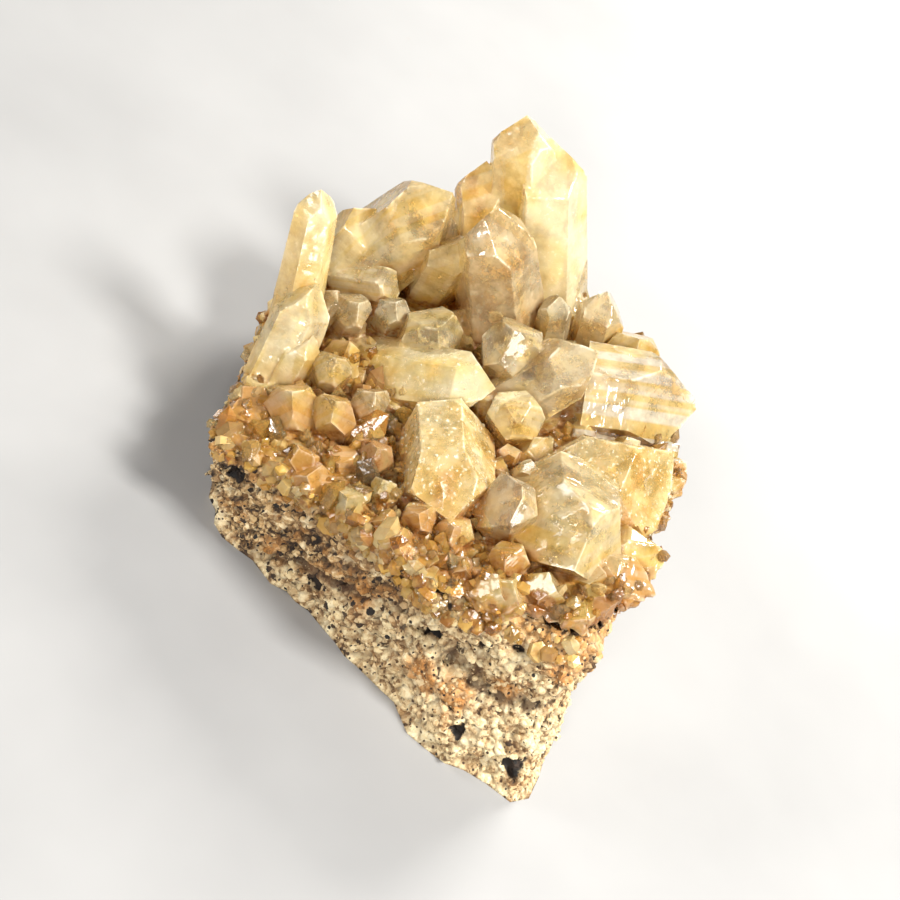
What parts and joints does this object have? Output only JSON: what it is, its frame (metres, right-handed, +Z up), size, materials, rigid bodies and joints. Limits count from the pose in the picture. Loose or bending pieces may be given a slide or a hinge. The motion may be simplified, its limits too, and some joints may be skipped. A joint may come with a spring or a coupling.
{
  "type": "quartz crystal cluster on matrix",
  "caption": "Golden quartz crystals grown together over the sloping top of a loose piece of granular rock, resting on its flat underside.",
  "frame": {"origin": "on the ground, under the middle of the cluster's box", "axes": "+Z up from the rock's flat underside, -Y towards the long broken front of the rock, +X towards its thick end"},
  "size_m": [0.061, 0.0682, 0.0357],
  "materials": {
    "matrix_rock": "rough granular",
    "quartz": "clear to cloudy, glossy faces"
  },
  "bodies": {
    "root": {"rock_matrix": "matrix_rock", "quartz_crystals": "quartz"}
  },
  "joints": []
}
